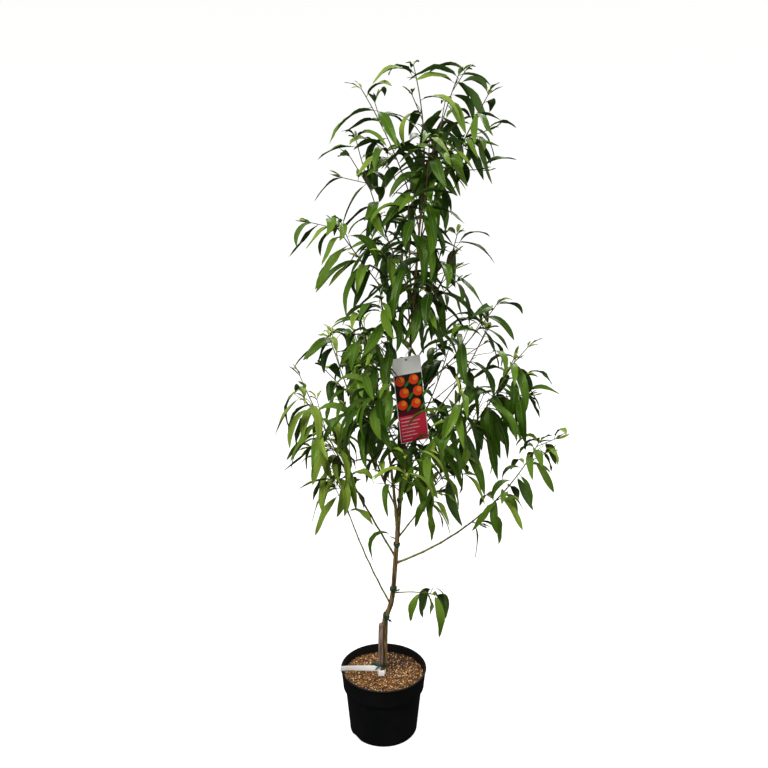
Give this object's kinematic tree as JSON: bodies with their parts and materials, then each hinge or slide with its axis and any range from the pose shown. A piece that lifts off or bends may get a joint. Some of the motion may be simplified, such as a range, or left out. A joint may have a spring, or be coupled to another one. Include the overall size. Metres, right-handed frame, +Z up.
{
  "type": "potted dwarf peach tree",
  "caption": "Young dwarf peach tree with a slender grafted trunk, upright boughs and long drooping leaves, in a round black nursery pot with tree ties, a blank label strip and a hang tag.",
  "frame": {"origin": "centre of the pot's flat underside", "axes": "+Z up along the tree's height, -Y to the tree's front, +X to the right seen from the front"},
  "size_m": [0.7643, 0.5609, 1.7742],
  "materials": {
    "pot_plastic": "moulded",
    "potting_mix": "loose bark",
    "bark": "young bark",
    "young_wood": "smooth green bark",
    "foliage": "waxy leaves",
    "tie_film": "soft film",
    "tag_strap": "soft film",
    "tag_card": "printed card",
    "label_film": "soft film"
  },
  "bodies": {
    "root": {"bough_back_low": "young_wood", "bough_front_low": "young_wood", "bough_left": "young_wood", "bough_left_mid": "young_wood", "bough_low_left": "young_wood", "bough_lowest_right": "young_wood", "bough_right_inner": "young_wood", "bough_right_low": "young_wood", "bough_right_mid": "young_wood", "bough_right_upper": "young_wood", "bough_second_leader": "young_wood", "bough_upper_left": "young_wood", "foliage_back_left": "foliage", "foliage_back_low": "foliage", "foliage_back_right": "foliage", "foliage_front_left": "foliage", "foliage_front_left_mid": "foliage", "foliage_front_low": "foliage", "foliage_front_mid": "foliage", "foliage_front_right": "foliage", "foliage_high_back": "foliage", "foliage_high_front": "foliage", "foliage_high_left": "foliage", "foliage_high_right": "foliage", "foliage_knot": "foliage", "foliage_leader": "foliage", "foliage_left": "foliage", "foliage_left_mid": "foliage", "foliage_low_left": "foliage", "foliage_lowest_right": "foliage", "foliage_right_high": "foliage", "foliage_right_inner": "foliage", "foliage_right_low": "foliage", "foliage_right_mid": "foliage", "foliage_right_upper": "foliage", "foliage_second_leader": "foliage", "foliage_top_left": "foliage", "foliage_top_right": "foliage", "foliage_upper_back": "foliage", "foliage_upper_front": "foliage", "foliage_upper_left": "foliage", "foliage_upper_right": "foliage", "hang_tag": "tag_card", "label_strip": "label_film", "pot": "pot_plastic", "potting_mix": "potting_mix", "tag_strap": "tag_strap", "tie_1": "tie_film", "tie_2": "tie_film", "tie_3": "tie_film", "tie_4": "tie_film", "tie_5": "tie_film", "trunk": "bark"}
  },
  "joints": []
}
